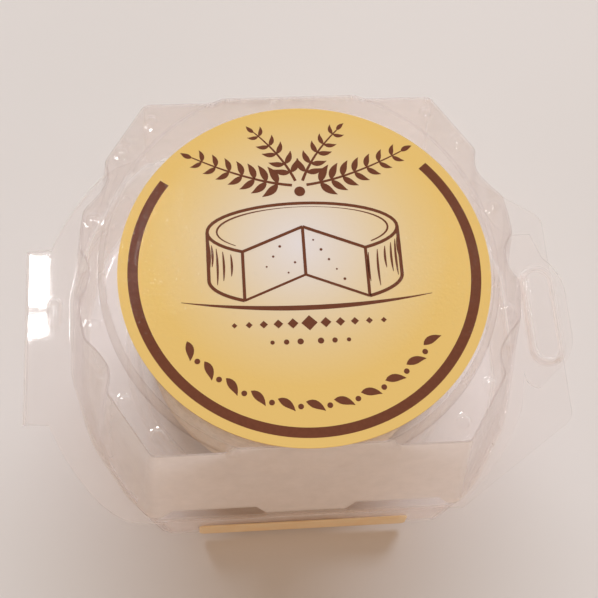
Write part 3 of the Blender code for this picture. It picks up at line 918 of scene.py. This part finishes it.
finish_piece("cheese_drum", wrinkled_drum(), "tray", rind, ["cheese"], sharp=80)

# %% [markdown]
# ## Gold label paper
# The label is gold, with a pale cream glow above its middle that fades out to the rim. The glow is partly
# the paper's own cream tone and partly a painted highlight, the broad sheen of a lamp on the varnish.
# A varnish with the fine texture of orange peel covers it.

# %% Paint for the label
LABEL_CENTRE = at(0.7, -1.5)
LABEL_RADIUS = 30.0 * MM
# Centre and reach of the cream glow, which is partly the paper's tone and partly a painted highlight of a
# lamp's sheen
CREAM_AND_SHEEN_CENTRE = LABEL_CENTRE + at(-0.6, 4.4)
CREAM_AND_SHEEN_REACH = 24.5 * MM


def varnish(tree, shader, where):
    """A thin glossy coat with the fine bumps of orange peel, over dull paper."""
    peel = noise_at(tree, where, 1900.0, 1.0)
    plug(tree, shader, {
        "Coat Normal": bumpy(tree, peel, 1.0, 0.00003), "Coat Weight": 0.13, "Coat Roughness": 0.03,
        "Normal": bumpy(tree, peel, 0.15, 0.0001), "Roughness": 0.65, "Specular IOR Level": 0.15})


def gold_paper():
    material, tree, shader, where = start_material("label_paper")
    centred = add_node(tree, "ShaderNodeMapping", {
        "Vector": where, "Scale": (1 / CREAM_AND_SHEEN_REACH, 1 / CREAM_AND_SHEEN_REACH, 0.0),
        "Location": (*(-CREAM_AND_SHEEN_CENTRE / CREAM_AND_SHEEN_REACH), 0.0)})
    spot = {"Vector": centred.outputs["Vector"]}
    # The glow is paler towards its centre: partly the paper's own cream, partly a painted highlight of a
    # lamp's sheen
    glow = add_node(tree, "ShaderNodeTexGradient", spot, gradient_type="SPHERICAL").outputs["Fac"]
    colour = ramp(tree, glow, [
        (0.0, srgb(235, 195, 116)), (0.25, srgb(234, 201, 141)), (0.5, srgb(233, 208, 169)),
        (0.75, srgb(233, 216, 198)), (1.0, srgb(235, 224, 220))])
    plug(tree, shader, {"Base Color": colour})
    varnish(tree, shader, where)
    return material


def printed_ink(name, colour):
    """Ink under the same varnish, a little uneven."""
    material, tree, shader, where = start_material(name)
    fleck = noise_at(tree, where, 1600.0, 3.0)
    dark = tuple(c * 0.88 for c in colour)
    plug(tree, shader, {"Base Color": ramp(tree, fleck, [(0.3, dark), (0.65, colour)])})
    varnish(tree, shader, where)
    return material


label_paper = gold_paper()
brown_ink = printed_ink("brown_ink", srgb(116, 66, 46))

# %% [markdown]
# ## The round label
# It is a disc of paper on the plateau, slightly off the middle, as labels stuck on by a machine are. A
# circle with a filled face is extruded once, which gives the paper its thickness.

# %% Cut the label
LABEL_Z = PLATEAU_Z + 0.03 * MM
PAPER = 0.15 * MM


def flat_at(spot, z, turn=0.0):
    """Where a flat shape goes: its place on the lid, its height and its turn in radians."""
    return Matrix.Translation((spot.x, spot.y, z)) @ Matrix.Rotation(turn, 4, "Z")


def cut_label():
    bm = bmesh.new()
    bmesh.ops.create_circle(bm, cap_ends=True, segments=192, radius=LABEL_RADIUS,
                             matrix=flat_at(LABEL_CENTRE, LABEL_Z))
    raised = bmesh.ops.extrude_face_region(bm, geom=list(bm.faces))["geom"]
    bmesh.ops.translate(bm, verts=only(BMVert, raised), vec=(0, 0, PAPER))
    return bm


finish_piece("label_disc", cut_label(), "lid", label_paper, ["label"])

# %% [markdown]
# ## Print on the label
# The label carries a plain country design: an open ring, a cheese with a wedge cut out, sprigs of herbs,
# rows of dots and diamonds, and a chain of leaves. It could be a picture on the paper, but here each
# stroke is a narrow ribbon, extruded point by point, so the print is crisp at any size.

# %% Ribbons, leaves and dots
INK = 0.02 * MM
PRINT_Z = LABEL_Z + PAPER + 0.005 * MM
LEVEL = 0.004 * MM


def next_level(bm):
    """Each stroke lies a hair higher than the one before it, so that crossing strokes don't fight."""
    return PRINT_Z + (len(bm.faces) % 7) * LEVEL


def ribbon(bm, points, widths):
    """A flat stroke through points, as wide at each as the widths say, all in millimetres."""
    path = [LABEL_CENTRE + Vector(p) * MM for p in points]
    count = len(path)
    z = next_level(bm)
    edge = None
    for i, spot in enumerate(path):
        along = (path[min(i + 1, count - 1)] - path[max(i - 1, 0)]).normalized()
        side = Vector((-along.y, along.x)) * widths[i] * MM / 2
        targets = [deep(spot + side, z), deep(spot - side, z)]
        if edge is None:
            verts = [bm.verts.new(p) for p in targets]
            edge = bm.edges.new(verts)
            continue
        fresh = bmesh.ops.extrude_edge_only(bm, edges=[edge])["geom"]
        for old in edge.verts:
            twin = next(v for v in only(BMVert, fresh) if v in [e.other_vert(old) for e in old.link_edges])
            twin.co = targets[verts.index(old)]
            verts[verts.index(old)] = twin
        edge = bm.edges.get(verts)


def stroke(bm, points, width):
    ribbon(bm, points, [width] * len(points))


def leaf(bm, root, tip, lean, width):
    """A pointed leaf from root to tip that bows sideways by lean."""
    root, tip = Vector(root), Vector(tip)
    side = Vector((-(tip - root).y, (tip - root).x)).normalized() * lean
    points = curve(root, (root + tip) / 2 + side, tip, 8)
    ribbon(bm, points, [max(0.03, width * math.sin(math.pi * (i / 8) ** 0.8)) for i in range(9)])


def dot(bm, centre, radius, segments=20, turn=0.0):
    spot = LABEL_CENTRE + Vector(centre) * MM
    bmesh.ops.create_circle(bm, cap_ends=True, segments=segments, radius=radius * MM,
                             matrix=flat_at(spot, next_level(bm), turn))


# %% [markdown]
# The print is put together from those few strokes. All lengths are in millimetres from the label's
# centre, as a designer would note them.

# %% Draw the print
def on_circle(radius, degrees):
    return polar(radius, math.radians(degrees))


def ellipse(centre, half, depth, start, end, steps):
    """Points on an ellipse from start to end, in degrees, both ends included."""
    angles = [math.radians(start + (end - start) * i / steps) for i in range(steps + 1)]
    return [centre + Vector((half * math.cos(a), depth * math.sin(a))) for a in angles]


def draw_cheese(bm, centre, half, depth, height):
    """A drum seen from slightly above, with a wedge taken out of its front."""
    centre = Vector(centre)
    drop = Vector((0, -height))
    rim = ellipse(centre, half, depth, -50, 230, 40)
    stroke(bm, rim, 0.55)
    base = ellipse(centre + drop, half, depth, 180, 230, 12)
    stroke(bm, base, 0.55)
    stroke(bm, [Vector((-p.x + 2 * centre.x, p.y)) for p in base], 0.55)
    inner = ellipse(centre, 0.9 * half, 0.86 * depth, -38, 218, 40)
    ribbon(bm, inner, [0.2 + 0.12 * math.sin(i / 4) for i in range(41)])
    for i in range(11):
        side = -1 if i % 2 else 1
        angle = math.radians(-8 - 8.0 * (i // 2))
        top = centre + Vector((side * half * math.cos(angle), depth * math.sin(angle) - 1.0))
        length = height * (0.45 + 0.3 * (i % 3) / 2)
        ribbon(bm, curve(top, top - Vector((side * 0.25, length / 2)), top - Vector((0, length)), 6),
               [0.1, 0.26, 0.34, 0.38, 0.34, 0.26, 0.1])
    for i in range(10):
        side = -1 if i % 2 else 1
        across = 1.6 + 1.15 * (i // 2)
        down = 1.8 + 1.3 * (i * 3 % 5)
        hole = centre + Vector((side * across, depth * 0.1 - across * 0.42 - down))
        dot(bm, hole, 0.16 + 0.04 * (i % 3), 10)
    heart = centre + Vector((0, depth * 0.1))
    for side in (-1, 1):
        wall = centre + Vector((side * half, 0))
        stroke(bm, [wall, wall + drop], 0.55)
        lip = rim[0] if side > 0 else rim[-1]
        stroke(bm, [lip, lip + drop], 0.5)
        stroke(bm, [lip, heart], 0.5)
        stroke(bm, [lip + drop, heart + drop], 0.4)
    stroke(bm, [heart, heart + drop], 0.5)


def draw_sprig(bm, root, bend, tip, pairs, size):
    """A stem with pairs of leaves that get smaller towards its tip."""
    stem = curve(root, bend, tip, 24)
    ribbon(bm, stem, [0.5 - 0.3 * i / 24 for i in range(25)])
    for i in range(pairs):
        knot = 4 + int(18 * i / max(1, pairs - 1))
        along = (stem[min(knot + 1, 24)] - stem[knot - 1]).normalized()
        reach = size * (1 - 0.45 * i / pairs)
        for side in (-1, 1):
            out = Vector((-along.y, along.x)) * side
            leaf(bm, stem[knot], stem[knot] + (along * 0.75 + out) * reach * 0.8, 0.5 * side, reach * 0.36)
    leaf(bm, stem[-1], stem[-1] + (stem[-1] - stem[-2]).normalized() * size * 0.6, 0.2, size * 0.25)


def draw_print():
    bm = bmesh.new()
    stroke(bm, [on_circle(27.56, 41.0 - 257.5 * i / 180) for i in range(181)], 1.66)
    for side in (-1, 1):
        draw_sprig(bm, (side * 1.2, 15.2), (side * 8.0, 16.0), (side * 17.5, 21.0), 7, 3.6)
        draw_sprig(bm, (side * 0.6, 16.0), (side * 2.5, 21.0), (side * 7.0, 25.5), 5, 3.0)
    dot(bm, (0, 14.0), 0.9)
    draw_cheese(bm, (0, 7.0), 15.5, 4.8, 8.6)
    board = curve((-20.0, -5.2), (0, -8.6), (20.0, -5.2), 40)
    ribbon(bm, board, [0.1 + 0.75 * math.sin(math.pi * i / 40) for i in range(41)])
    for side in (-1, 1):
        for i in range(5):
            dot(bm, (side * (2.6 + 2.3 * i), -9.5), 0.85 - 0.1 * i, 4)
        for i in range(3):
            dot(bm, (side * (1.6 + 2.2 * i), -12.6), 0.5 - 0.08 * i)
    dot(bm, (0, -9.5), 1.3, 4)
    for i in range(21):
        angle = -145 + 110 * i / 20
        if i % 2:
            dot(bm, on_circle(23.4, angle), 0.45)
        else:
            root, tip = on_circle(22.6, angle - 3.6), on_circle(24.2, angle + 3.6)
            leaf(bm, root, tip, 0.5, 1.3)
    return bm


print_piece = finish_piece("label_print", draw_print(), "lid", brown_ink)
give_thickness(print_piece, INK)

# %% [markdown]
# ## The strip label
# A narrow amber label is stuck on the front of the tray, and only its top edge shows below the flange.
# Its paper has a slightly uneven tone. A cube is scaled to its size, and its corners are bevelled.

# %% Paint and cut the strip
strip_low, strip_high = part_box("strip")
STRIP_CORNER = 1.0 * MM


def amber_paper():
    material, tree, shader, where = start_material("strip_paper")
    cloud = noise_at(tree, where, 260.0, 3.0)
    colour = ramp(tree, cloud, [(0.35, srgb(248, 212, 164)), (0.65, srgb(252, 224, 182))])
    plug(tree, shader, {"Base Color": colour, "Normal": bumpy(tree, cloud, 0.2, 0.0003), "Roughness": 0.45})
    return material


def cut_strip():
    bm = bmesh.new()
    extent = strip_high - strip_low
    middle = (strip_low + strip_high) / 2
    size = Matrix.Diagonal((extent.x, PAPER, extent.z, 1))
    place = Matrix.Translation((middle.x, strip_high.y + PAPER / 2, middle.z))
    bmesh.ops.create_cube(bm, size=1.0, matrix=place @ size)
    corners = [e for e in bm.edges if abs((e.verts[0].co - e.verts[1].co).y) > PAPER * 0.5]
    bmesh.ops.bevel(bm, geom=corners, offset=STRIP_CORNER, segments=5, profile=0.5, affect="EDGES",
                    material=-1)
    return bm


finish_piece("strip_label", cut_strip(), "tray", amber_paper(), ["strip"])

# %% [markdown]
# ## Floor and light
# The photo was taken on a pale table under soft indoor light that comes from above and behind. A wide
# cool lamp gives the broad shadow in front, and a dim warm sky and a low lamp in front fill it. Four
# small lamps light nothing and only make glints, as the panes of a window do on glossy plastic.

# %% Floor
def make_floor():
    bm = bmesh.new()
    place = Matrix.Translation((0, 0, TABLE_Z))
    bmesh.ops.create_grid(bm, x_segments=1, y_segments=1, size=3.0, matrix=place)
    material, tree, shader, where = start_material("floor")
    grain = noise_at(tree, where, 6.0)
    colour = ramp(tree, grain, [(0.3, srgb(226, 217, 211)), (0.7, srgb(229, 220, 215))])
    plug(tree, shader, {"Base Color": colour, "Roughness": 0.6})
    link_mesh("floor", bm, material)


make_floor()


# %% Lamps
GLINT_HEIGHT = 1.10


def add_lamp(name, place, target, size, power, colour, glints_only=False):
    light = bpy.data.lights.new(name, "AREA")
    light.shape = "RECTANGLE"
    light.size, light.size_y = size
    light.energy = power
    light.color = colour
    lamp = bpy.data.objects.new(name, light)
    lamp.location = place
    lamp.rotation_euler = (Vector(place) - Vector(target)).to_track_quat("Z", "Y").to_euler()
    lamp.visible_diffuse = not glints_only
    lamp.visible_glossy = glints_only
    bpy.context.scene.collection.objects.link(lamp)


add_lamp("ceiling", (0.19, 1.43, 1.39), (0, 0, 0.02), (2.2, 0.6), 43.8, (0.75, 0.87, 0.99))
add_lamp("front_fill", (0.8, -1.3, 0.38), (0, 0, 0.02), (1.4, 0.5), 3.2, (1.0, 0.90, 0.87))
for name, x, y, size, power in [
        ("pane_far", -0.219, 0.517, (0.042, 0.060), 0.25),
        ("pane_near", -0.218, 0.461, (0.044, 0.030), 0.12),
        ("spark", -0.078, 0.524, (0.016, 0.05), 0.36),
        ("glint_right", 0.25, 0.50, (0.02, 0.06), 0.1)]:
    add_lamp(name, (x, y, GLINT_HEIGHT), (x, y, 0.0), size, power, (1.0, 1.0, 1.0), glints_only=True)


# %% Sky of the room
def room_sky(overhead, horizon, backdrop):
    """Light from all round, warm from the walls and whiter from the ceiling, and a pale backdrop."""
    world = bpy.data.worlds.new("room")
    bpy.context.scene.world = world
    world.use_nodes = True
    tree = world.node_tree
    direction = add_node(tree, "ShaderNodeTexCoord").outputs["Generated"]
    height = add_node(tree, "ShaderNodeSeparateXYZ", {"Vector": direction}).outputs["Z"]
    colour = ramp(tree, height, [(0.0, horizon), (1.0, overhead)])
    seen = add_node(tree, "ShaderNodeLightPath").outputs["Is Camera Ray"]
    shown = mix_colours(tree, seen, colour, (*backdrop, 1.0))
    plug(tree, tree.nodes["Background"], {"Color": shown})


room_sky((0.46, 0.405, 0.345), (0.37, 0.22, 0.10), (0.56, 0.49, 0.45))

# %% [markdown]
# ## Camera
# The view was fitted to the photo: the label's outline and ring, and the corners of the lid.
# The camera looks down at 66 degrees, from slightly left of the front, and is rolled by 7 degrees.

# %% Camera
CAMERA_PLACE = Vector((-14.76, -85.71, 219.44)) * MM
ELEVATION, YAW, ROLL = [math.radians(a) for a in (66.03, -10.12, 6.96)]
FOCAL_LENGTH, SENSOR_WIDTH = 74.83, 36.0    # both in millimetres, as on a real camera
SHEET_CROSSINGS = 32    # how often one ray may pass through a face of the clear sheet


def add_camera():
    level = math.cos(ELEVATION)
    back = Vector((math.sin(YAW) * level, -math.cos(YAW) * level, math.sin(ELEVATION)))
    right = (-back).cross(Vector((0, 0, 1))).normalized()
    up = right.cross(-back)
    side = right * math.cos(ROLL) + up * math.sin(ROLL)
    top = -right * math.sin(ROLL) + up * math.cos(ROLL)
    data = bpy.data.cameras.new("camera")
    data.lens = FOCAL_LENGTH
    data.sensor_width = SENSOR_WIDTH
    data.clip_start, data.clip_end = 0.005, 20.0
    camera = bpy.data.objects.new("camera", data)
    turn = Matrix((side, top, back)).transposed().to_4x4()
    camera.matrix_world = Matrix.Translation(CAMERA_PLACE) @ turn
    bpy.context.scene.collection.objects.link(camera)
    bpy.context.scene.camera = camera
    bpy.context.scene.view_settings.view_transform = "Standard"
    bpy.context.scene.cycles.transparent_max_bounces = SHEET_CROSSINGS


add_camera()
